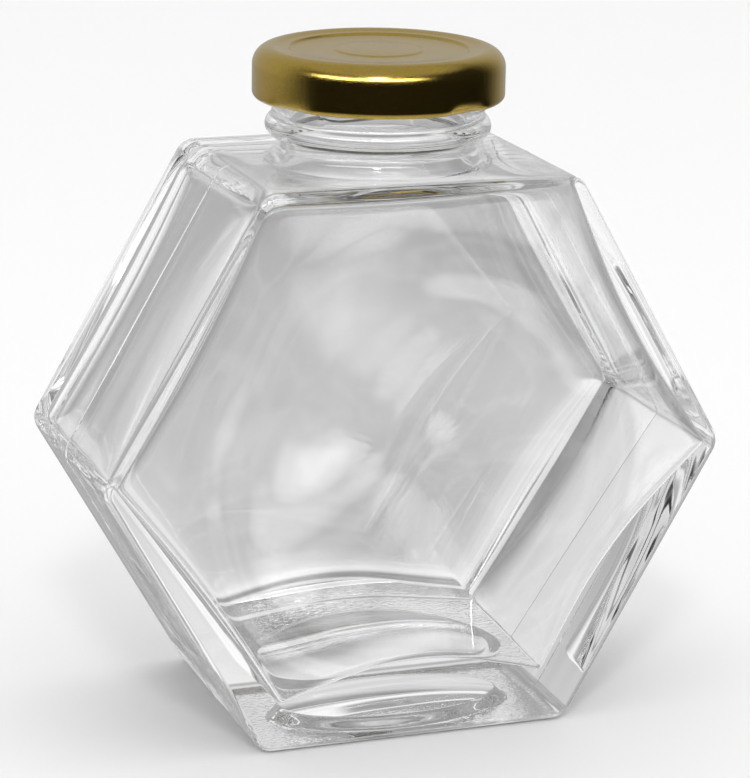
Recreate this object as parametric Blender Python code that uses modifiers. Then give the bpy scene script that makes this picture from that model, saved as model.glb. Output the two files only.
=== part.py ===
"""Hexagonal glass jar with a pressed metal twist-off lid.

The jar stands on one side of its hexagon, with its two hexagonal faces to the
front (-Y) and the back (+Y). Metres, +Z up, origin at the middle of the base.
"""

import bpy
import bmesh
from math import atan2, cos, pi, radians, sin, sqrt, tan
from mathutils import Matrix, Vector

MM = 0.001
MERGE = 0.00001
SHARP_ANGLE = radians(50)
OVERCUT = 1.0 * MM             # how far cutters and joined solids run past what they meet

# Outer glass: a regular hexagonal prism
CORNER_TO_CORNER = 131.0 * MM
DEPTH = 57.7 * MM
CORNER_RADIUS = 4.0 * MM       # the six edges that run front to back
CORNER_SEGMENTS = 5
FACE_EDGE_RADIUS = 1.6 * MM    # round the front and back faces
FACE_EDGE_SEGMENTS = 3
DRAFT = 0.46 * MM              # how far the side corners draw in from the parting plane to each face
HEX_RADIUS = CORNER_TO_CORNER / 2
HEX_HEIGHT = HEX_RADIUS * sqrt(3)
HEX_CENTRE_Z = HEX_HEIGHT / 2

# Push-up under the base: an oval dome inside the bearing ring
PUSH_UP_HALF_WIDTH = 26.5 * MM
PUSH_UP_HALF_DEPTH = 20.5 * MM
PUSH_UP_EDGE = 2.5 * MM        # height where the steep edge turns into the dome
PUSH_UP_MIDDLE = 4.4 * MM
PUSH_UP_EDGE_WIDTH = 3.75 * MM
PUSH_UP_SIDES = 40
DOME_STEPS = 4
EDGE_STEPS = 4

# Hollow: blown, so it leans slightly and its corners reach further out than its sides.
# Corners (x, z) at its front and its back, from the upper right one round
FRONT_CORNERS = [
    (31.6 * MM, 112.2 * MM), (62.6 * MM, 56.3 * MM), (27.8 * MM, 10.3 * MM),
    (-28.2 * MM, 9.2 * MM), (-61.8 * MM, 57.2 * MM), (-32.0 * MM, 111.2 * MM),
]
BACK_CORNERS = [
    (32.6 * MM, 111.6 * MM), (62.8 * MM, 55.6 * MM), (30.4 * MM, 11.8 * MM),
    (-30.2 * MM, 10.0 * MM), (-61.8 * MM, 56.8 * MM), (-31.8 * MM, 111.2 * MM),
]
HOLLOW_TOP = 111.4 * MM        # level of its ceiling where the bore meets it
# How far each side draws in at its middle, and how much more where it turns into the faces
SIDE_BOWS = [0.4 * MM, 0.9 * MM, 5.8 * MM, 0.2 * MM, 0.2 * MM, 0.0]
FACE_BOWS = [2.4 * MM, 2.8 * MM, 0.2 * MM, 1.2 * MM, 1.4 * MM, 0.8 * MM]
CORNER_REACH = [0.03, 0.03, 0.03, 0.03, 0.03, 0.10]    # share of a side that a corner rounds off
ALONG_SIDE = (0.25, 0.5, 0.75)
FACE_Y = 26.1 * MM             # depth of the hollow's two faces near their edges
FACE_SWELL = 1.4 * MM          # how much thicker the faces are at their middle
FACE_SWELL_RADIUS = 50.0 * MM
# Rings from front to back: depth, how far drawn in, share of the face bows.
# The front edge is crisp, and the back edge is round
HOLLOW_RINGS = [
    (-FACE_Y, 20.0 * MM, 0.6),
    (-FACE_Y, 3.0 * MM, 1.0),
    (-FACE_Y, 0.7 * MM, 1.0),
    (-25.4 * MM, 0.1 * MM, 0.9),
    (-21.5 * MM, -0.1 * MM, 0.45),
    (-10.0 * MM, -0.1 * MM, 0.1),
    (10.0 * MM, 0.0, 0.1),
    (20.0 * MM, 0.3 * MM, 0.45),
    (24.2 * MM, 1.5 * MM, 0.8),
    (25.8 * MM, 4.0 * MM, 1.0),
    (FACE_Y, 8.0 * MM, 1.0),
    (FACE_Y, 22.0 * MM, 0.6),
]
HOLLOW_LEVELS = 1

# Neck, its bead and the thread of the finish
NECK_RADIUS = 20.15 * MM
NECK_ROOT_RADIUS = 3.0 * MM
BEAD_RADIUS = 22.65 * MM
BEAD_Z = 120.2 * MM
BEAD_HALF_HEIGHT = 2.3 * MM
FINISH_RADIUS = 21.3 * MM
RIM_Z = 134.7 * MM
RIM_ROUND = 1.1 * MM
BORE_RADIUS = 17.8 * MM
BORE_FLARE = 4.0 * MM
NECK_SIDES = 56
THREAD_STARTS = 4
THREAD_RADIUS = 22.5 * MM
THREAD_LOW_Z = 125.1 * MM      # middle of the thread at its lower end
THREAD_RISE = 2.8 * MM
THREAD_SPAN = radians(62)
THREAD_HALF_HEIGHT = 1.1 * MM
THREAD_FIRST_ANGLE = radians(-141.5)
THREAD_STEPS = 12
THREAD_LEVEL_SHARE = 0.2       # part of its length that runs level before it climbs
THREAD_FADE = 3.0              # how quickly it comes up from its ends
THREAD_CHAMFER = 0.5 * MM
THREAD_SUNK = 0.8 * MM         # how deep its foot sits in the finish
THREAD_FLANK = 0.8             # half height of its chamfers, as a share of its foot's

# Lid: one piece of pressed sheet
LID_RADIUS = 25.25 * MM
LID_BOTTOM_Z = 125.6 * MM
LID_HEIGHT = 10.3 * MM
LID_SHEET = 0.5 * MM
LID_SHOULDER = 3.8 * MM
LID_CURL = 1.25 * MM
LID_RING_INNER = 17.5 * MM     # where the raised outer ring steps down
LID_RING_SLOPE = 0.42 * MM     # how far the ring falls from its crest to that step
LID_STEP_WIDTH = 0.8 * MM
LID_PANEL_DROP = 0.85 * MM
LID_BUTTON_RADIUS = 8.8 * MM
LID_BUTTON_RISE = 0.25 * MM
LID_LUGS = 4
LID_LUG_FIRST_ANGLE = radians(-64.9)
LID_LUG_HALF_WIDTH = radians(15.5)
LID_LUG_HEIGHT = 2.9 * MM
LID_LUG_PRESS = 0.8 * MM
LID_LUG_PLATEAU = 1.8          # above 1, so the middle of a lug is pressed flat
LID_SIDES = 60


def clear_scene():
    for old in list(bpy.data.objects):
        bpy.data.objects.remove(old, do_unlink=True)


def collection(name):
    new = bpy.data.collections.new(name)
    bpy.context.scene.collection.children.link(new)
    return new


def material(name, colour, roughness, metallic, transmission=0.0):
    new = bpy.data.materials.new(name)
    new.use_nodes = True
    shader = new.node_tree.nodes["Principled BSDF"]
    shader.inputs["Base Color"].default_value = (*colour, 1.0)
    shader.inputs["Roughness"].default_value = roughness
    shader.inputs["Metallic"].default_value = metallic
    shader.inputs["Transmission Weight"].default_value = transmission
    new.diffuse_color = (*colour, 1.0)
    return new


def mesh_object(name, bm, holder):
    bmesh.ops.recalc_face_normals(bm, faces=bm.faces)
    mesh = bpy.data.meshes.new(name)
    bm.to_mesh(mesh)
    bm.free()
    new = bpy.data.objects.new(name, mesh)
    holder.objects.link(new)
    return new


def as_cutter(cutter):
    cutter.hide_render = True
    cutter.display_type = "WIRE"
    return cutter


def boolean(target, operation, other):
    modifier = target.modifiers.new(operation.title() + " " + other.name, "BOOLEAN")
    modifier.operation = operation
    modifier.object = other
    modifier.solver = "EXACT"


def arc(centre, radius, start, end, steps):
    """Points (r, z) along an arc, angles in degrees from +r towards +z."""
    points = []
    for i in range(steps + 1):
        a = radians(start + (end - start) * i / steps)
        points.append((centre[0] + radius * cos(a), centre[1] + radius * sin(a)))
    return points


def turned(name, profile, sides, holder):
    """A closed solid turned about Z from a profile that runs down its outer side."""
    bm = bmesh.new()
    points = [bm.verts.new((r, 0, z)) for r, z in profile]
    for a, b in zip(points, points[1:]):
        bm.edges.new((a, b))
    mesh = bpy.data.meshes.new(name)
    bm.to_mesh(mesh)
    bm.free()
    new = bpy.data.objects.new(name, mesh)
    holder.objects.link(new)
    screw = new.modifiers.new("Screw", "SCREW")
    screw.axis = "Z"
    screw.angle = 2 * pi
    screw.steps = sides
    screw.render_steps = sides
    screw.use_merge_vertices = True
    screw.merge_threshold = MERGE
    screw.use_smooth_shade = True
    return new


def outer_block(holder):
    """The prism: hexagon edges rounded first, then the outlines of both faces."""
    bm = bmesh.new()
    bmesh.ops.create_cone(
        bm, cap_ends=True, segments=6, radius1=HEX_RADIUS, radius2=HEX_RADIUS, depth=DEPTH,
    )
    upright = Matrix.Rotation(pi / 2, 4, "X") @ Matrix.Rotation(pi / 6, 4, "Z")
    bmesh.ops.transform(bm, matrix=Matrix.Translation((0, 0, HEX_CENTRE_Z)) @ upright, verts=bm.verts)
    corners = [e for e in bm.edges if abs(e.verts[0].co.y - e.verts[1].co.y) > DEPTH / 2]
    bmesh.ops.bevel(
        bm, geom=corners, offset=CORNER_RADIUS * tan(pi / 6), offset_type="OFFSET",
        segments=CORNER_SEGMENTS, profile=0.5, affect="EDGES",
    )
    everything = bm.verts[:] + bm.edges[:] + bm.faces[:]
    bmesh.ops.bisect_plane(bm, geom=everything, plane_co=(0, 0, 0), plane_no=(0, 1, 0))
    for v in bm.verts:
        if abs(v.co.y) > DEPTH / 4:
            v.co.x *= 1 - DRAFT / HEX_RADIUS
    outlines = [e for e in bm.edges if all(abs(v.co.y) > DEPTH / 4 for v in e.verts)]
    bmesh.ops.bevel(
        bm, geom=outlines, offset=FACE_EDGE_RADIUS, offset_type="OFFSET",
        segments=FACE_EDGE_SEGMENTS, profile=0.5, affect="EDGES",
    )
    return mesh_object("glass_jar", bm, holder)


def push_up(holder):
    """Cutter: a low oval dome with a steep rounded edge, turned and then narrowed in depth."""
    dome_radius = PUSH_UP_HALF_WIDTH - PUSH_UP_EDGE_WIDTH
    profile = [(0, PUSH_UP_MIDDLE)]
    for i in range(1, DOME_STEPS + 1):
        t = i / DOME_STEPS
        profile.append((dome_radius * t, PUSH_UP_MIDDLE - (PUSH_UP_MIDDLE - PUSH_UP_EDGE) * t * t))
    for i in range(1, EDGE_STEPS + 1):
        t = i / EDGE_STEPS
        profile.append((dome_radius + PUSH_UP_EDGE_WIDTH * t, PUSH_UP_EDGE * (1 + cos(pi * t)) / 2))
    profile += [(PUSH_UP_HALF_WIDTH, -OVERCUT), (0, -OVERCUT)]
    cutter = turned("push_up", profile, PUSH_UP_SIDES, holder)
    cutter.scale.y = PUSH_UP_HALF_DEPTH / PUSH_UP_HALF_WIDTH
    return as_cutter(cutter)


def hollow_ring(y, inset, face_share):
    """Points round the hollow at depth y, drawn in by inset, with that share of the face bows."""
    towards_back = (1 + y / FACE_Y) / 2
    corners = [Vector(f).lerp(Vector(b), towards_back) for f, b in zip(FRONT_CORNERS, BACK_CORNERS)]
    points = []
    for i in range(6):
        start = corners[i]
        along = corners[(i + 1) % 6] - start
        inward = Vector((along.y, -along.x)).normalized()
        bow = SIDE_BOWS[i] + FACE_BOWS[i] * face_share
        for t in (0, CORNER_REACH[i], *ALONG_SIDE, 1 - CORNER_REACH[(i + 1) % 6]):
            place = start + along * t + inward * bow * sin(pi * t) - Vector((0, HEX_CENTRE_Z))
            place *= 1 - inset / HEX_CENTRE_Z
            near = min(1.0, place.length / FACE_SWELL_RADIUS)
            swelling = FACE_SWELL * cos(near * pi / 2) ** 2
            points.append((place.x, y * (1 - swelling / FACE_Y), place.y + HEX_CENTRE_Z))
    return points


def hollow(holder):
    """Cutter: a cage of rings from front to back, smoothed by subdivision."""
    bm = bmesh.new()
    loops = [[bm.verts.new(point) for point in hollow_ring(*ring)] for ring in HOLLOW_RINGS]
    count = len(loops[0])
    for near, far in zip(loops, loops[1:]):
        for i in range(count):
            k = (i + 1) % count
            bm.faces.new((near[i], near[k], far[k], far[i]))
    for loop in (loops[0], loops[-1]):
        bm.faces.new(loop)
    new = mesh_object("hollow", bm, holder)
    soften = new.modifiers.new("Soften", "SUBSURF")
    soften.levels = HOLLOW_LEVELS
    soften.render_levels = HOLLOW_LEVELS
    return as_cutter(new)


def neck(holder):
    """Neck, bead and finish as one turned solid, its foot sunk in the shoulder."""
    top = HEX_HEIGHT
    foot = top - OVERCUT
    profile = [(0, RIM_Z)]
    profile += arc((FINISH_RADIUS - RIM_ROUND, RIM_Z - RIM_ROUND), RIM_ROUND, 90, 0, 4)
    profile += [(FINISH_RADIUS, BEAD_Z + BEAD_HALF_HEIGHT)]
    bead_centre = BEAD_RADIUS - BEAD_HALF_HEIGHT
    profile += arc((bead_centre, BEAD_Z), BEAD_HALF_HEIGHT, 60, -84, 8)
    profile += [(NECK_RADIUS, top + NECK_ROOT_RADIUS)]
    root = NECK_RADIUS + NECK_ROOT_RADIUS
    profile += arc((root, top + NECK_ROOT_RADIUS), NECK_ROOT_RADIUS, 190, 266, 5)
    profile += [(root, foot), (0, foot)]
    return as_cutter(turned("neck", profile, NECK_SIDES, holder))


def bore(holder):
    """Cutter through the neck into the hollow, flared where it meets the ceiling."""
    above = RIM_Z + OVERCUT
    below = HOLLOW_TOP - 2 * OVERCUT
    flare_z = HOLLOW_TOP + BORE_FLARE
    profile = [(0, above), (BORE_RADIUS + RIM_ROUND + OVERCUT, above)]
    profile += arc((BORE_RADIUS + RIM_ROUND, RIM_Z - RIM_ROUND), RIM_ROUND, 90, 180, 4)
    profile += arc((BORE_RADIUS + BORE_FLARE, flare_z), BORE_FLARE, 180, 264, 5)
    profile += [(BORE_RADIUS + BORE_FLARE, below), (0, below)]
    return as_cutter(turned("bore", profile, NECK_SIDES, holder))


def thread_lug(number, holder):
    """One start of the thread: a low ridge that rises round the finish and fades at both ends."""
    bm = bmesh.new()
    loops = []
    first_angle = THREAD_FIRST_ANGLE + number * 2 * pi / THREAD_STARTS
    foot = FINISH_RADIUS - THREAD_SUNK
    lowest = FINISH_RADIUS - THREAD_SUNK / 2
    for i in range(THREAD_STEPS + 1):
        t = i / THREAD_STEPS
        angle = first_angle + t * THREAD_SPAN
        fade = min(1.0, sin(pi * t) * THREAD_FADE + 0.05)
        crest = lowest + (THREAD_RADIUS - lowest) * fade
        middle = THREAD_LOW_Z + THREAD_RISE * max(0.0, t - THREAD_LEVEL_SHARE) / (1 - THREAD_LEVEL_SHARE)
        half = THREAD_HALF_HEIGHT * (1 + fade) / 2
        chamfered = crest - THREAD_CHAMFER
        section = [
            (foot, middle + half), (foot, middle - half), (chamfered, middle - half * THREAD_FLANK),
            (crest, middle), (chamfered, middle + half * THREAD_FLANK),
        ]
        loops.append([bm.verts.new((r * cos(angle), r * sin(angle), z)) for r, z in section])
    count = len(loops[0])
    for near, far in zip(loops, loops[1:]):
        for j in range(count):
            k = (j + 1) % count
            bm.faces.new((near[j], near[k], far[k], far[j]))
    bm.faces.new(loops[0])
    bm.faces.new(loops[-1])
    return as_cutter(mesh_object("thread_%d" % (number + 1), bm, holder))


def settle(target):
    """Makes the target's modifiers part of its mesh, smooth but for its true edges."""
    bpy.context.view_layer.update()
    evaluated = target.evaluated_get(bpy.context.evaluated_depsgraph_get())
    mesh = bpy.data.meshes.new_from_object(evaluated)
    mesh.name = target.name
    target.modifiers.clear()
    target.data = mesh
    mesh.shade_smooth()
    mesh.set_sharp_from_angle(angle=SHARP_ANGLE)
    shading = target.modifiers.new("Even shading", "WEIGHTED_NORMAL")
    shading.keep_sharp = True


def glass_jar(parts, shapes):
    """Prism and neck joined, then hollowed from the mouth down, with the push-up under the base."""
    jar = outer_block(parts)
    boolean(jar, "UNION", neck(shapes))
    for number in range(THREAD_STARTS):
        boolean(jar, "UNION", thread_lug(number, shapes))
    boolean(jar, "DIFFERENCE", hollow(shapes))
    boolean(jar, "DIFFERENCE", bore(shapes))
    boolean(jar, "DIFFERENCE", push_up(shapes))
    settle(jar)
    jar.data.materials.clear()
    jar.data.materials.append(material("clear_glass", (0.86, 0.87, 0.87), 0.03, 0.0, 1.0))
    return jar


def lid_profile():
    """The lid's outer side from the middle of its top down to the curl under its skirt."""
    top = LID_BOTTOM_Z + LID_HEIGHT
    panel = top - LID_PANEL_DROP
    shoulder = LID_RADIUS - LID_SHOULDER
    profile = [
        (0, panel + LID_BUTTON_RISE),
        (LID_BUTTON_RADIUS - LID_STEP_WIDTH / 2, panel + LID_BUTTON_RISE),
        (LID_BUTTON_RADIUS + LID_STEP_WIDTH / 2, panel),
        (LID_RING_INNER, panel),
        (LID_RING_INNER + LID_STEP_WIDTH, top - LID_RING_SLOPE),
        ((LID_RING_INNER + LID_STEP_WIDTH + shoulder) / 2, top - LID_RING_SLOPE / 2),
        (shoulder, top),
    ]
    profile += arc((shoulder, top - LID_SHOULDER), LID_SHOULDER, 75, 0, 5)
    profile += arc((LID_RADIUS - LID_CURL, LID_BOTTOM_Z + LID_CURL), LID_CURL, 0, -180, 6)
    return profile


def press_lugs(lid):
    """Push the foot of the skirt in at each lug, most at the curl and at the lug's middle."""
    for v in lid.data.vertices:
        angle = atan2(v.co.y, v.co.x)
        radius = Vector((v.co.x, v.co.y)).length
        height = (v.co.z - LID_BOTTOM_Z) / LID_LUG_HEIGHT
        if height > 1 or radius < LID_RADIUS / 2:
            continue
        nearest = round((angle - LID_LUG_FIRST_ANGLE) / (2 * pi / LID_LUGS))
        away = abs(angle - LID_LUG_FIRST_ANGLE - nearest * 2 * pi / LID_LUGS) / LID_LUG_HALF_WIDTH
        if away >= 1:
            continue
        across = min(1.0, LID_LUG_PLATEAU * (1 + cos(pi * away)) / 2)
        press = LID_LUG_PRESS * across * (1 + cos(pi * max(0.0, height))) / 2
        scale = (radius - press) / radius
        v.co.x *= scale
        v.co.y *= scale


def lid(parts, shapes):
    """A turned sheet given its thickness inwards, with the four lugs pressed in its foot."""
    blank = turned("lid_blank", lid_profile(), LID_SIDES, shapes)
    sheet = bpy.data.meshes.new_from_object(blank.evaluated_get(bpy.context.evaluated_depsgraph_get()))
    bpy.data.objects.remove(blank, do_unlink=True)
    new = bpy.data.objects.new("lid", sheet)
    sheet.name = "lid"
    parts.objects.link(new)
    press_lugs(new)
    thickness = new.modifiers.new("Sheet", "SOLIDIFY")
    thickness.thickness = LID_SHEET
    thickness.offset = -1
    settle(new)
    new.data.materials.clear()
    new.data.materials.append(material("gold_lacquered_steel", (0.40, 0.29, 0.09), 0.32, 1.0))
    return new


clear_scene()
parts = collection("hexagonal_jar")
shapes = collection("cutters_and_tools")
bpy.context.view_layer.update()
glass_jar(parts, shapes)
lid(parts, shapes)
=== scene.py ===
"""Looks of the hexagonal glass jar: moulded clear glass with a gold twist-off lid."""

from math import atan2, cos, pi, radians, sin, sqrt, tan

import bmesh
import bpy
from mathutils import Matrix, Vector, noise


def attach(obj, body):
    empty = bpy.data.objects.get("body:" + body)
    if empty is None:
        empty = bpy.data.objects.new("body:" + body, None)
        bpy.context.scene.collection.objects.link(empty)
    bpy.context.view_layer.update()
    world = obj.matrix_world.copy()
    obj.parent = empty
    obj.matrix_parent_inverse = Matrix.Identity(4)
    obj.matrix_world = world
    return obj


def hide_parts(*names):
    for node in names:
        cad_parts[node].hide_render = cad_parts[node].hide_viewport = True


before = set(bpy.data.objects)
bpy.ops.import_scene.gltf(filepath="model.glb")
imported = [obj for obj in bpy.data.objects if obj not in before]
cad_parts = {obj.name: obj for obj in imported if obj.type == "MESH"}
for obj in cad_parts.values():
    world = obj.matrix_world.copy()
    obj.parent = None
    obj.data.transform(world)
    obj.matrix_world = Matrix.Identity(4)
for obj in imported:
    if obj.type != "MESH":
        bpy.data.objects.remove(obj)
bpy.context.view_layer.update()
MM = 0.001
bpy.context.scene.view_settings.view_transform = "Standard"
for path in ("max_bounces", "glossy_bounces", "transmission_bounces"):
    setattr(bpy.context.scene.cycles, path, 32)


# ---- Camera ----
# A long lens from a little above the shoulder, turned to the jar's left side,
# so that its two left sides and its shoulder show beside the front face.
YAW = radians(-19.87)
PITCH = radians(15.74)
ROLL = radians(0.98)
CAMERA_DISTANCE = 0.6559
AIM = Vector((0.00035, 0, 0.0650))
back = Vector((sin(YAW) * cos(PITCH), -cos(YAW) * cos(PITCH), sin(PITCH)))
camera_data = bpy.data.cameras.new("camera")
camera_data.lens = 148.4
camera = bpy.data.objects.new("camera", camera_data)
bpy.context.scene.collection.objects.link(camera)
camera.location = AIM + back * CAMERA_DISTANCE
level_turn = back.to_track_quat("Z", "Y")
camera.rotation_euler = (level_turn @ Matrix.Rotation(ROLL, 3, "Z").to_quaternion()).to_euler()
bpy.context.scene.camera = camera


# ---- Glass body: outside ----
# The real jar is one piece of moulded soda-lime glass: a hexagonal block with
# rounded edges, parted at mid-depth where the two halves of the mould meet.
HEX_RADIUS = 65.5 * MM
DEPTH = 57.7 * MM
HEX_HEIGHT = HEX_RADIUS * sqrt(3)
HEX_MIDDLE = HEX_HEIGHT / 2
CORNER_RADIUS = 4.0 * MM
FACE_EDGE_RADIUS = 1.6 * MM
DRAFT = 0.26 * MM
SEAM_HALF_WIDTH = 0.40 * MM
SEAM_HEIGHT = 0.20 * MM
TINY = 0.01 * MM


def start(name):
    """Names the new primitive, and opens it in edit mode with nothing selected."""
    bpy.context.object.name = name
    bpy.context.object.data.name = name
    bpy.ops.object.transform_apply(location=True, rotation=True, scale=True)
    bpy.ops.object.mode_set(mode="EDIT")
    bpy.ops.mesh.select_all(action="DESELECT")
    return bpy.context.object


def pick(piece, kind, test):
    """Selects only the vertices, edges or faces whose middle and normal pass the test."""
    bpy.ops.mesh.select_mode(type=kind)
    bpy.ops.mesh.select_all(action="DESELECT")
    mesh = bmesh.from_edit_mesh(piece.data)
    for item in {"VERT": mesh.verts, "EDGE": mesh.edges, "FACE": mesh.faces}[kind]:
        item.select_set(bool(test(item)))
    mesh.select_flush_mode()
    bmesh.update_edit_mesh(piece.data)


def runs_along(edge, axis, least):
    """True for an edge that spans more than least along that axis."""
    return abs(edge.verts[0].co[axis] - edge.verts[1].co[axis]) > least


def done():
    bpy.ops.object.mode_set(mode="OBJECT")


def apply(piece, kind, **values):
    """Adds a modifier with these values and applies it."""
    bpy.ops.object.select_all(action="DESELECT")
    bpy.context.view_layer.objects.active = piece
    piece.select_set(True)
    modifier = piece.modifiers.new(kind.title(), kind)
    for key, value in values.items():
        setattr(modifier, key, value)
    bpy.ops.object.modifier_apply(modifier=modifier.name)


bpy.ops.object.select_all(action="DESELECT")
bpy.ops.mesh.primitive_cylinder_add(
    vertices=6, radius=HEX_RADIUS, depth=DEPTH, location=(0, 0, HEX_MIDDLE), rotation=(pi / 2, pi / 6, 0)
)
glass = start("glass")
pick(glass, "EDGE", lambda e: runs_along(e, 1, DEPTH / 2))
bpy.ops.mesh.bevel(offset=CORNER_RADIUS * tan(pi / 6), offset_type="OFFSET", segments=8, affect="EDGES")
bpy.ops.mesh.select_all(action="SELECT")
bpy.ops.mesh.bisect(plane_co=(0, 0, 0), plane_no=(0, 1, 0))
pick(glass, "EDGE", lambda e: all(abs(v.co.y) < TINY for v in e.verts))
bpy.ops.mesh.bevel(offset=SEAM_HALF_WIDTH, offset_type="OFFSET", segments=4, affect="EDGES")
for beyond, drawn_in in ((0.7 * SEAM_HALF_WIDTH, SEAM_HEIGHT), (DEPTH / 4, DRAFT)):
    pick(glass, "VERT", lambda v: abs(v.co.y) > beyond)
    bpy.ops.transform.resize(value=(1 - drawn_in / HEX_RADIUS, 1, 1), center_override=(0, 0, 0))
pick(glass, "EDGE", lambda e: all(abs(v.co.y) > DEPTH / 4 for v in e.verts))
bpy.ops.mesh.bevel(offset=FACE_EDGE_RADIUS, offset_type="OFFSET", segments=6, affect="EDGES")
done()


# ---- Glass body: neck and finish ----
# The neck, its transfer bead and the lug thread are formed by the ring mould
# in the same glass, and the rim is rounded so that the lid seals on it.
NECK_RADIUS = 20.15 * MM
NECK_ROOT = 3.0 * MM
BEAD_RADIUS = 22.65 * MM
BEAD_Z = 120.2 * MM
BEAD_HALF = 2.3 * MM
FINISH_RADIUS = 21.3 * MM
RIM_Z = 134.7 * MM
RIM_ROUND = 1.1 * MM
BORE_RADIUS = 17.8 * MM
BORE_FLARE = 4.5 * MM
TURNED_STEPS = 128


def arc(middle, radius, first, last, steps):
    """Points (r, z) along an arc, its angles in degrees from +r towards +z."""
    angles = [radians(first + (last - first) * i / steps) for i in range(steps + 1)]
    return [(middle[0] + radius * cos(a), middle[1] + radius * sin(a)) for a in angles]


def turned(name, profile, steps=TURNED_STEPS):
    """Draws a profile by extruding from one point, and spins it about the jar's axis."""
    bpy.ops.object.select_all(action="DESELECT")
    r, z = profile[0]
    bpy.ops.mesh.primitive_plane_add(size=MM, location=(r, 0, z))
    piece = start(name)
    bpy.ops.mesh.select_mode(type="VERT")
    bpy.ops.mesh.select_all(action="SELECT")
    bpy.ops.mesh.merge(type="CENTER")
    for next_r, next_z in profile[1:]:
        bpy.ops.mesh.extrude_region_move(TRANSFORM_OT_translate={"value": (next_r - r, 0, next_z - z)})
        r, z = next_r, next_z
    bpy.ops.mesh.select_all(action="SELECT")
    bpy.ops.mesh.spin(steps=steps, angle=2 * pi, center=(0, 0, 0), axis=(0, 0, 1))
    bpy.ops.mesh.select_all(action="SELECT")
    bpy.ops.mesh.remove_doubles(threshold=TINY)
    bpy.ops.mesh.normals_make_consistent(inside=False)
    done()
    return piece


def combine(target, operation, other):
    """Joins or cuts the target with another closed piece, which is then removed."""
    apply(target, "BOOLEAN", operation=operation, object=other, solver="EXACT")
    bpy.data.objects.remove(other, do_unlink=True)


foot = HEX_HEIGHT - 1.0 * MM
neck_profile = [(0, RIM_Z)]
neck_profile += arc((FINISH_RADIUS - RIM_ROUND, RIM_Z - RIM_ROUND), RIM_ROUND, 90, 0, 8)
neck_profile += [(FINISH_RADIUS, BEAD_Z + BEAD_HALF + 0.4 * MM)]
neck_profile += arc((BEAD_RADIUS - BEAD_HALF, BEAD_Z), BEAD_HALF, 60, -84, 16)
neck_profile += arc(
    (NECK_RADIUS + NECK_ROOT, HEX_HEIGHT + NECK_ROOT), NECK_ROOT, 186, 268, 10
)
neck_profile += [(NECK_RADIUS + NECK_ROOT, foot), (0, foot)]
combine(glass, "UNION", turned("neck", neck_profile))

THREAD_STARTS = 4
THREAD_RADIUS = 22.5 * MM
THREAD_HALF = 1.1 * MM
THREAD_LOW_Z = 125.1 * MM
THREAD_RISE = 2.8 * MM
THREAD_SPAN = radians(62)
THREAD_FIRST = radians(-141.5)
for number in range(THREAD_STARTS):
    first_angle = THREAD_FIRST + number * 2 * pi / THREAD_STARTS
    bpy.ops.object.select_all(action="DESELECT")
    bpy.ops.mesh.primitive_circle_add(
        vertices=16, radius=THREAD_HALF, fill_type="NGON", rotation=(pi / 2, 0, 0),
        location=(FINISH_RADIUS, 0, THREAD_LOW_Z),
    )
    thread = start("thread")
    bpy.ops.mesh.select_all(action="SELECT")
    bpy.ops.mesh.spin(steps=40, angle=THREAD_SPAN, center=(0, 0, 0), axis=(0, 0, 1))
    done()
    for v in thread.data.vertices:
        share = min(1.0, max(0.0, abs(atan2(v.co.y, v.co.x)) / THREAD_SPAN))
        fade = min(1.0, 3.2 * sin(pi * share) + 0.04)
        radius = Vector((v.co.x, v.co.y)).length - FINISH_RADIUS
        radius = FINISH_RADIUS + radius * fade * (1.0 + 0.1 * (radius > 0))
        angle = first_angle + share * THREAD_SPAN
        height = (v.co.z - THREAD_LOW_Z) * (0.55 + 0.45 * fade)
        rise = THREAD_RISE * max(0.0, share - 0.2) / 0.8
        v.co = (radius * cos(angle), radius * sin(angle), THREAD_LOW_Z + height + rise)
    bpy.ops.object.mode_set(mode="EDIT")
    bpy.ops.mesh.select_all(action="SELECT")
    bpy.ops.mesh.remove_doubles(threshold=TINY / 10)
    bpy.ops.mesh.normals_make_consistent(inside=False)
    done()
    combine(glass, "UNION", thread)


# ---- Glass body: inside ----
# The hollow is blown, so it follows the mould loosely: it reaches well into
# the corners, its faces draw in between them, and its floor is thick and domed.
HOLLOW_TOP = 111.4 * MM
# Corners (x, z) of the hollow at its front and its back, from the upper right one round
FRONT_CORNERS = [
    (31.6 * MM, 112.2 * MM), (62.6 * MM, 56.3 * MM), (27.8 * MM, 10.3 * MM),
    (-28.2 * MM, 9.2 * MM), (-61.8 * MM, 57.2 * MM), (-32.0 * MM, 111.2 * MM),
]
BACK_CORNERS = [
    (32.6 * MM, 111.6 * MM), (62.8 * MM, 55.6 * MM), (30.4 * MM, 11.4 * MM),
    (-30.2 * MM, 9.8 * MM), (-61.8 * MM, 56.8 * MM), (-31.8 * MM, 111.2 * MM),
]
# How far each side draws in at its middle, from the upper right one round, and how
# much more it does so where it turns into the front and back faces
SIDE_BOWS = [0.4 * MM, 0.9 * MM, 5.6 * MM, 0.2 * MM, 0.2 * MM, 0.0]
FACE_BOWS = [2.4 * MM, 2.8 * MM, 0.2 * MM, 1.2 * MM, 1.4 * MM, 0.8 * MM]
# Share of a side over which each corner is rounded, at its start and at its end
CORNER_REACH = [0.03, 0.02, 0.02, 0.03, 0.025, 0.10]
ALONG_SIDE = (0.3, 0.4, 0.5, 0.6, 0.7)
POINTS_PER_SIDE = len(ALONG_SIDE) + 5
FACE_Y = 26.1 * MM
FACE_SWELL = 1.4 * MM
FACE_SWELL_RADIUS = 50 * MM
WAVES_PER_METRE = 24
# Where in the noise the waves start, which decides where they level out
WAVES_FROM = Vector((1.41, 1.488, 1.24))
FACE_WAVE = 0.22 * MM
SIDE_WAVE = 0.06 * MM


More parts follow.
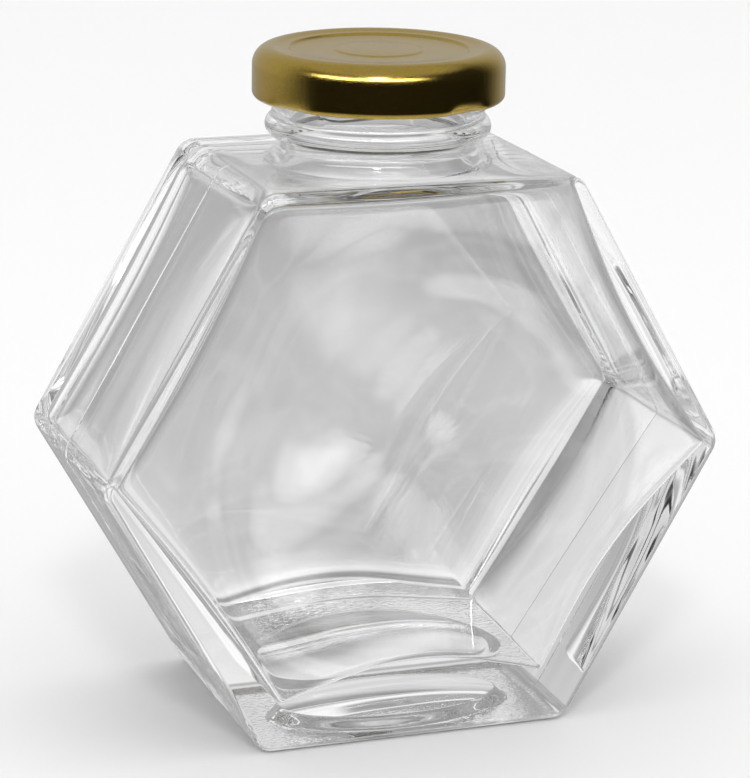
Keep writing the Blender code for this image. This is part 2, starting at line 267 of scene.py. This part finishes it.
def hollow_ring(y, inset, face_share):
    """Points round the hollow at depth y: drawn in by inset, with that share of the face bows."""
    points = []
    towards_back = (1 + y / FACE_Y) / 2
    corners = [Vector(f).lerp(Vector(b), towards_back) for f, b in zip(FRONT_CORNERS, BACK_CORNERS)]
    for i in range(6):
        first, last = corners[i], corners[(i + 1) % 6]
        along = last - first
        inward = Vector((along.y, -along.x)).normalized()
        bow = SIDE_BOWS[i] + FACE_BOWS[i] * face_share
        near, far = CORNER_REACH[i], CORNER_REACH[(i + 1) % 6]
        for t in (0, near, near * 2.5, *ALONG_SIDE, 1 - far * 2.5, 1 - far):
            place = first + along * t + inward * bow * sin(pi * t)
            place -= Vector((0, HEX_MIDDLE))
            place *= 1 - inset / HEX_MIDDLE
            points.append((place.x, y, place.y + HEX_MIDDLE))
    return points


# Each ring: its depth, how far it is drawn in, and its share of the face bows. The
# front edge is crisp, and the back edge is round.
rings = [
    (-FACE_Y, 38 * MM, 0.2),
    (-FACE_Y, 22 * MM, 0.6),
    (-FACE_Y, 9.0 * MM, 0.9),
    (-FACE_Y, 3.0 * MM, 1.0),
    (-FACE_Y, 0.7 * MM, 1.0),
    (-25.4 * MM, 0.1 * MM, 0.9),
    (-21.5 * MM, -0.1 * MM, 0.45),
    (-14.0 * MM, -0.1 * MM, 0.1),
    (-5.0 * MM, 0.0, 0.0),
    (5.0 * MM, 0.0, 0.0),
    (14.0 * MM, 0.0, 0.1),
    (20.0 * MM, 0.3 * MM, 0.45),
    (24.2 * MM, 1.5 * MM, 0.8),
    (25.8 * MM, 4.0 * MM, 1.0),
    (FACE_Y, 8.0 * MM, 1.0),
    (FACE_Y, 22 * MM, 0.6),
    (FACE_Y, 38 * MM, 0.2),
]
around = 6 * POINTS_PER_SIDE
bpy.ops.object.select_all(action="DESELECT")
bpy.ops.mesh.primitive_circle_add(
    vertices=around, radius=HEX_MIDDLE, fill_type="NGON", location=(0, -FACE_Y, 0), rotation=(pi / 2, 0, 0)
)
hollow = start("hollow")
bpy.ops.mesh.select_all(action="SELECT")
ring_step = 2 * FACE_Y / (len(rings) - 1)
for ring in rings[1:]:
    bpy.ops.mesh.extrude_region_move(TRANSFORM_OT_translate={"value": (0, ring_step, 0)})
done()
for v in hollow.data.vertices:
    ring = rings[round((v.co.y + FACE_Y) / ring_step)]
    clockwise = (pi / 3 - atan2(v.co.z, v.co.x)) / (2 * pi)
    v.co = hollow_ring(*ring)[round(clockwise * around) % around]
bpy.ops.object.mode_set(mode="EDIT")
bpy.ops.mesh.select_all(action="SELECT")
bpy.ops.mesh.normals_make_consistent(inside=False)
done()
apply(hollow, "SUBSURF", levels=3, render_levels=3)
waved = []
for v in hollow.data.vertices:
    faces_out = abs(v.normal.y) ** 4
    from_middle = Vector((v.co.x, v.co.z - HEX_MIDDLE)).length
    thicker = FACE_SWELL * cos(min(1.0, from_middle / FACE_SWELL_RADIUS) * pi / 2) ** 2
    at = (v.co + WAVES_FROM) * WAVES_PER_METRE
    swell = noise.noise(at) + 0.25 * noise.noise(at * 2.1)
    streak = noise.noise(Vector((v.co.x * 12, v.co.y * 110, v.co.z * 12)))
    outward = (swell * FACE_WAVE - thicker) * faces_out + streak * SIDE_WAVE * (1 - faces_out)
    waved.append(v.co + v.normal * outward)
for v, moved in zip(hollow.data.vertices, waved):
    v.co = moved
combine(glass, "DIFFERENCE", hollow)

flare_z = HOLLOW_TOP + BORE_FLARE
bore_profile = [(0, RIM_Z + MM), (BORE_RADIUS + RIM_ROUND + MM, RIM_Z + MM)]
bore_profile += arc((BORE_RADIUS + RIM_ROUND, RIM_Z - RIM_ROUND), RIM_ROUND, 90, 180, 8)
bore_profile += arc((BORE_RADIUS + BORE_FLARE, flare_z), BORE_FLARE, 180, 264, 10)
bore_profile += [(BORE_RADIUS + BORE_FLARE, HOLLOW_TOP - 2 * MM), (0, HOLLOW_TOP - 2 * MM)]
combine(glass, "DIFFERENCE", turned("bore", bore_profile))

PUSH_UP_HALF_WIDTH = 26.5 * MM
PUSH_UP_HALF_DEPTH = 20.5 * MM
PUSH_UP_EDGE = 2.5 * MM
PUSH_UP_MIDDLE = 4.4 * MM
push_up_profile = [(0, PUSH_UP_MIDDLE)]
for i in range(1, 11):
    r = (PUSH_UP_HALF_WIDTH - 1.5 * PUSH_UP_EDGE) * i / 10
    z = PUSH_UP_MIDDLE - (PUSH_UP_MIDDLE - PUSH_UP_EDGE) * (i / 10) ** 2
    push_up_profile.append((r, z))
for i in range(1, 9):
    t = i / 8
    r = PUSH_UP_HALF_WIDTH - 1.5 * PUSH_UP_EDGE * (1 - t)
    push_up_profile.append((r, PUSH_UP_EDGE * (1 + cos(pi * t)) / 2))
push_up_profile += [(PUSH_UP_HALF_WIDTH, -MM), (0, -MM)]
push_up = turned("push_up", push_up_profile)
for v in push_up.data.vertices:
    v.co.y *= PUSH_UP_HALF_DEPTH / PUSH_UP_HALF_WIDTH
combine(glass, "DIFFERENCE", push_up)

RIPPLE_HEIGHT = 0.24 * MM
STIPPLE_HEIGHT = 0.12 * MM
glass_material = bpy.data.materials.new("clear_glass")
glass_material.use_nodes = True
shader = glass_material.node_tree.nodes["Principled BSDF"]
shader.inputs["Base Color"].default_value = (0.84, 0.842, 0.84, 1)
shader.inputs["Roughness"].default_value = 0.0
shader.inputs["Transmission Weight"].default_value = 1.0
shader.inputs["IOR"].default_value = 1.52

# The skin of the glass: broad waves on the faces and the floor, long ripples along the
# sides, and a stippled ring where the jar stands
skin = glass_material.node_tree


def node(tree, kind, *sources, **values):
    """Adds a node, sets its values (in1 is input 1) and feeds its first inputs from the sources."""
    new = tree.nodes.new(kind)
    for key, value in values.items():
        if key[:2] == "in" and key[2:].isdigit():
            new.inputs[int(key[2:])].default_value = value
        else:
            setattr(new, key, value)
    for i, source in enumerate(sources):
        tree.links.new(source, new.inputs[i])
    return new


place = node(skin, "ShaderNodeTexCoord")
drawn = node(skin, "ShaderNodeVectorMath", place.outputs["Object"], operation="MULTIPLY", in1=(9, 60, 9))
ripples = node(skin, "ShaderNodeTexNoise", drawn.outputs[0], in2=1.0, in3=1.0)
waves = node(skin, "ShaderNodeTexNoise", place.outputs["Object"], in2=WAVES_PER_METRE, in3=0.6)
side_on = node(skin, "ShaderNodeSeparateXYZ", place.outputs["Normal"])
towards_face = node(skin, "ShaderNodeMath", side_on.outputs["Y"], operation="ABSOLUTE")
towards_floor = node(skin, "ShaderNodeMath", side_on.outputs["Z"], operation="ABSOLUTE")
broad = node(skin, "ShaderNodeMath", towards_face.outputs[0], towards_floor.outputs[0], operation="MAXIMUM")
face_share = node(skin, "ShaderNodeMapRange", broad.outputs[0], in1=0.6, in2=0.95)
uneven = node(skin, "ShaderNodeMix", face_share.outputs[0], data_type="FLOAT")
skin.links.new(ripples.outputs["Fac"], uneven.inputs[2])
skin.links.new(waves.outputs["Fac"], uneven.inputs[3])
relief = node(skin, "ShaderNodeBump", in0=1.0, in1=RIPPLE_HEIGHT)
skin.links.new(uneven.outputs[0], relief.inputs["Height"])
level = node(skin, "ShaderNodeSeparateXYZ", place.outputs["Object"])
standing = node(skin, "ShaderNodeMapRange", level.outputs["Z"], in1=0.0, in2=0.5 * MM, in3=1.0, in4=0.0)
stipple = node(skin, "ShaderNodeTexNoise", place.outputs["Object"], in2=900.0, in3=1.0)
stippled = node(skin, "ShaderNodeMath", stipple.outputs["Fac"], standing.outputs[0], operation="MULTIPLY")
bearing = node(skin, "ShaderNodeBump", in0=1.0, in1=STIPPLE_HEIGHT)
skin.links.new(stippled.outputs[0], bearing.inputs["Height"])
skin.links.new(relief.outputs["Normal"], bearing.inputs["Normal"])
skin.links.new(bearing.outputs["Normal"], shader.inputs["Normal"])
glass.data.materials.clear()
glass.data.materials.append(glass_material)
bpy.context.view_layer.objects.active = glass
glass.select_set(True)
bpy.ops.object.shade_smooth_by_angle(angle=radians(60))
apply(glass, "WEIGHTED_NORMAL", keep_sharp=True, weight=60)
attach(glass, "root")
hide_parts("glass_jar")


# ---- Lid ----
# A twist-off lid pressed from tinplate and lacquered a satin gold. Its skirt
# ends in a curl, pressed in at four places to make the lugs that grip the thread.
LID_RADIUS = 25.25 * MM
LID_BOTTOM = 125.6 * MM
LID_TOP = 135.9 * MM
LID_SHEET = 0.3 * MM
LID_SHOULDER = 3.8 * MM
LID_CURL = 1.25 * MM
RING_INNER = 17.5 * MM
RING_SLOPE = 0.42 * MM
PANEL_DROP = 0.85 * MM
BUTTON_RADIUS = 8.8 * MM
BUTTON_RISE = 0.22 * MM
LUGS = 4
LUG_FIRST = radians(-64.9)
LUG_HALF_WIDTH = radians(15.5)
LUG_HEIGHT = 2.9 * MM
LUG_PRESS = 0.8 * MM


def eased(first, last, steps):
    """Points from one (r, z) to another with a level start and end, without the first."""
    points = []
    for i in range(1, steps + 1):
        t = i / steps
        rise = (1 - cos(pi * t)) / 2
        points.append((first[0] + (last[0] - first[0]) * t, first[1] + (last[1] - first[1]) * rise))
    return points


panel = LID_TOP - PANEL_DROP
shoulder = LID_RADIUS - LID_SHOULDER
lid_profile = [(0, panel + BUTTON_RISE), (BUTTON_RADIUS - 0.5 * MM, panel + BUTTON_RISE)]
lid_profile += eased(lid_profile[-1], (BUTTON_RADIUS + 0.5 * MM, panel), 6)
lid_profile += [(RING_INNER, panel)]
lid_profile += eased(lid_profile[-1], (RING_INNER + 0.7 * MM, LID_TOP - RING_SLOPE), 6)
lid_profile += [(RING_INNER + 1.2 * MM, LID_TOP - RING_SLOPE + 0.03 * MM)]
lid_profile += eased(lid_profile[-1], (shoulder, LID_TOP), 8)
lid_profile += arc((shoulder, LID_TOP - LID_SHOULDER), LID_SHOULDER, 84, 0, 16)
lid_profile += [(LID_RADIUS, LID_BOTTOM + LUG_HEIGHT * (3 - i) / 3) for i in range(2)]
lid_profile += arc((LID_RADIUS - LID_CURL, LID_BOTTOM + LID_CURL), LID_CURL, 0, -200, 16)
lid = turned("gold_lid", lid_profile, steps=192)
for v in lid.data.vertices:
    height = max(0.0, (v.co.z - LID_BOTTOM) / LUG_HEIGHT)
    radius = Vector((v.co.x, v.co.y)).length
    if height < 1 and radius > LID_RADIUS / 2:
        turns = (atan2(v.co.y, v.co.x) - LUG_FIRST) / (2 * pi / LUGS)
        away = abs(turns - round(turns)) * (2 * pi / LUGS) / LUG_HALF_WIDTH
        if away < 1:
            across = min(1.0, 0.9 * (1 + cos(pi * away)))
            press = LUG_PRESS * across * (1 + cos(pi * height)) / 2
            v.co.x *= 1 - press / radius
            v.co.y *= 1 - press / radius

# Satin lacquer: a fine grain, and faint marks drawn upwards by the press
GRAIN_PER_METRE = 4200
DRAWN_PER_METRE = (1500, 1500, 150)
LACQUER_RELIEF = 0.03 * MM
DARK_GOLD = (0.48, 0.33, 0.066, 1)
PALE_GOLD = (0.63, 0.45, 0.105, 1)
gold = bpy.data.materials.new("gold_lacquer")
gold.use_nodes = True
tree = gold.node_tree
shader = tree.nodes["Principled BSDF"]
shader.inputs["Metallic"].default_value = 1.0
place = node(tree, "ShaderNodeTexCoord").outputs["Object"]
grain = node(tree, "ShaderNodeTexNoise", place, in2=GRAIN_PER_METRE, in3=2).outputs["Fac"]
upright = node(tree, "ShaderNodeVectorMath", place, operation="MULTIPLY", in1=DRAWN_PER_METRE)
drawn_marks = node(tree, "ShaderNodeTexNoise", upright.outputs[0], in2=1.0, in3=1)
tone = node(tree, "ShaderNodeValToRGB", grain)
tone.color_ramp.elements[0].position = 0.3
tone.color_ramp.elements[1].position = 0.7
tone.color_ramp.elements[0].color = DARK_GOLD
tone.color_ramp.elements[1].color = PALE_GOLD
tree.links.new(tone.outputs["Color"], shader.inputs["Base Color"])
bump = node(tree, "ShaderNodeBump", in0=0.5, in1=LACQUER_RELIEF)
tree.links.new(grain, bump.inputs["Height"])
marks_bump = node(tree, "ShaderNodeBump", in0=0.6, in1=LACQUER_RELIEF)
tree.links.new(drawn_marks.outputs["Fac"], marks_bump.inputs["Height"])
tree.links.new(bump.outputs["Normal"], marks_bump.inputs["Normal"])
tree.links.new(marks_bump.outputs["Normal"], shader.inputs["Normal"])
rough = node(tree, "ShaderNodeMapRange", grain, in3=0.13, in4=0.26)
tree.links.new(rough.outputs["Result"], shader.inputs["Roughness"])
lid.data.materials.append(gold)

# Its inside is coated with a pale enamel
enamel = bpy.data.materials.new("pale_enamel")
enamel.use_nodes = True
tree = enamel.node_tree
shader = tree.nodes["Principled BSDF"]
shader.inputs["Roughness"].default_value = 0.35
place = node(tree, "ShaderNodeTexCoord").outputs["Object"]
mottle = node(tree, "ShaderNodeTexNoise", place, in2=300)
tint = node(tree, "ShaderNodeValToRGB", mottle.outputs["Fac"])
tint.color_ramp.elements[0].color = (0.36, 0.36, 0.35, 1)
tint.color_ramp.elements[1].color = (0.46, 0.46, 0.45, 1)
tree.links.new(tint.outputs["Color"], shader.inputs["Base Color"])
lid.data.materials.append(enamel)
apply(lid, "SOLIDIFY", thickness=LID_SHEET, offset=-1, material_offset=1)
lid.select_set(True)
bpy.context.view_layer.objects.active = lid
bpy.ops.object.shade_smooth_by_angle(angle=radians(40))
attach(lid, "root")
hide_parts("lid")


# ---- Floor and light ----
# A plain pale floor under an even, bright sky. The lid and the glass mirror a
# dark room with a lamp, and the glass gathers light from a patterned sky.
bpy.ops.mesh.primitive_plane_add(size=8, location=(0, 0, -0.3 * MM))
floor = bpy.context.object
floor.name = "floor"
floor.visible_glossy = False
floor.visible_transmission = False
floor_material = bpy.data.materials.new("floor")
floor_material.use_nodes = True
shader = floor_material.node_tree.nodes["Principled BSDF"]
shader.inputs["Base Color"].default_value = (0.93, 0.93, 0.93, 1)
shader.inputs["Roughness"].default_value = 0.8
floor.data.materials.append(floor_material)

world = bpy.data.worlds.new("studio")
bpy.context.scene.world = world
world.use_nodes = True
tree = world.node_tree
tree.nodes.clear()


def ranged(source, low, high, first, last):
    """Takes a value from the range low to high over to first to last, easing at both ends."""
    limits = {"in1": low, "in2": high, "in3": first, "in4": last}
    new = node(tree, "ShaderNodeMapRange", source, interpolation_type="SMOOTHSTEP", **limits)
    return new.outputs[0]


def joined(operation, first, second, clamp=False):
    """One value worked out from two, kept between 0 and 1 if clamped."""
    return node(tree, "ShaderNodeMath", first, second, operation=operation, use_clamp=clamp).outputs[0]


def facing(azimuth, elevation=0.0):
    """How much a direction agrees with one given from the camera's, to its right and up."""
    turn = YAW + radians(azimuth)
    level = cos(radians(elevation))
    aim = (sin(turn) * level, -cos(turn) * level, sin(radians(elevation)))
    return node(tree, "ShaderNodeVectorMath", direction, operation="DOT_PRODUCT", in1=aim).outputs["Value"]


direction = node(tree, "ShaderNodeTexCoord").outputs["Generated"]
height = node(tree, "ShaderNodeSeparateXYZ", direction).outputs["Z"]

# What is mirrored outright: a dark room in front and low, lit from above
front_room = ranged(facing(25), -0.70, 0.12, 0.53, 0.012)
room = joined("MAXIMUM", front_room, ranged(height, 0.60, 0.85, 0.0, 0.5))
room = joined("MAXIMUM", room, ranged(height, -0.75, -0.40, 0.8, 0.0))
room = joined("MULTIPLY", room, ranged(height, -0.35, 0.05, 0.72, 1.0))
lamp = ranged(facing(-10, 34), 0.60, 0.90, 0.0, 10.0)
lamp = joined("MULTIPLY", lamp, ranged(height, 0.40, 0.46, 0.0, 1.0))
lamp = joined("MULTIPLY", lamp, ranged(height, 0.52, 0.60, 1.0, 0.0))
mirrored = joined("ADD", room, lamp)

# What the glass gathers inside: white low behind and greyer towards the horizon, two
# bright patches low in front, a slanting row of window panes there and one window high up
LEAST_LIGHT = 0.03
behind = ranged(height, -0.44, -0.21, 1.22, 0.56)
behind = joined("ADD", behind, ranged(facing(180, 12), 0.93, 0.97, 0.0, 0.35))
behind = joined("ADD", behind, ranged(facing(-121, 1), 0.95, 0.99, 0.0, 0.35))
behind = joined("ADD", behind, ranged(height, 0.34, 0.60, 0.0, -0.08))
behind = joined("ADD", behind, ranged(facing(180, -47), 0.955, 0.99, 0.0, -0.70))
table = ranged(facing(36, -24), 0.95, 0.99, 0.0, 0.5)
table = joined("MAXIMUM", table, ranged(facing(72, -23), 0.93, 0.99, 0.0, 0.4))
window = ranged(facing(39.5, -19), 0.9996, 0.99996, 0.0, 4.0)
for pane in range(5):
    across = facing(39 + 2 * pane, -12 - 1.5 * pane)
    window = joined("MAXIMUM", window, ranged(across, 0.9995, 0.99996, 0.0, 3.2 + 0.5 * pane))
high_window = ranged(facing(36, 14), 0.96, 0.985, 0.0, 0.9)
gathered = joined("ADD", joined("ADD", table, window), joined("ADD", behind, high_window))


def patterned(scale, low, high):
    """Soft noise over the sky, stretched by scale and spread from low to high."""
    spread = node(tree, "ShaderNodeVectorMath", direction, operation="MULTIPLY", in1=scale)
    soft_noise = node(tree, "ShaderNodeTexNoise", spread.outputs[0], in2=1.0, in3=1.0)
    return ranged(soft_noise.outputs[0], low, high, 0.0, 1.0)


# Faint clouds away from straight behind, bright veins round the window, and the slats
off_axis = ranged(facing(180, -16), 0.970, 0.996, 0.10, 0.0)
clouds = joined("MULTIPLY", patterned((9, 9, 9), 0.40, 0.60), off_axis)
fine = (17, 17, 17)
web = joined("SUBTRACT", patterned(fine, 0.43, 0.50), patterned(fine, 0.50, 0.57), clamp=True)
web = joined("MULTIPLY", web, ranged(facing(37, -18), 0.990, 0.999, 0.3, 1.0))
web = joined("MULTIPLY", web, ranged(facing(40, -15), 0.96, 0.98, 0.0, 1.0))
slats = ranged(facing(-121, 1), 0.984, 0.996, 0.0, 1.0)
slats = joined("MULTIPLY", slats, patterned((48, 48, 6), 0.44, 0.56))
gathered = joined("ADD", gathered, web)
gathered = joined("SUBTRACT", gathered, joined("ADD", slats, clouds))
gathered = node(tree, "ShaderNodeMath", gathered, operation="MAXIMUM", in1=LEAST_LIGHT).outputs[0]

# Rays inside the glass see that sky, mirrored ones the room, and all others plain white
ray = node(tree, "ShaderNodeLightPath").outputs
is_mirrored = joined("SUBTRACT", ray["Is Glossy Ray"], ray["Is Transmission Ray"], clamp=True)
inside = node(tree, "ShaderNodeMix", ray["Is Transmission Ray"], data_type="FLOAT", in2=1.0)
tree.links.new(gathered, inside.inputs[3])
sky = node(tree, "ShaderNodeMix", is_mirrored, data_type="FLOAT")
tree.links.new(inside.outputs[0], sky.inputs[2])
tree.links.new(mirrored, sky.inputs[3])
background = node(tree, "ShaderNodeBackground", sky.outputs[0], in1=1.0)
node(tree, "ShaderNodeOutputWorld", background.outputs[0])


def softbox(name, place, size, power):
    """A square light that looks at the jar and doesn't show itself."""
    data = bpy.data.lights.new(name, "AREA")
    data.size = size
    data.energy = power
    light = bpy.data.objects.new(name, data)
    bpy.context.scene.collection.objects.link(light)
    light.location = place
    light.rotation_euler = (Vector(place) - AIM).to_track_quat("Z", "Y").to_euler()
    light.visible_camera = False
    return light


softbox("key", (-0.41, -1.13, 1.1), 0.22, 5)
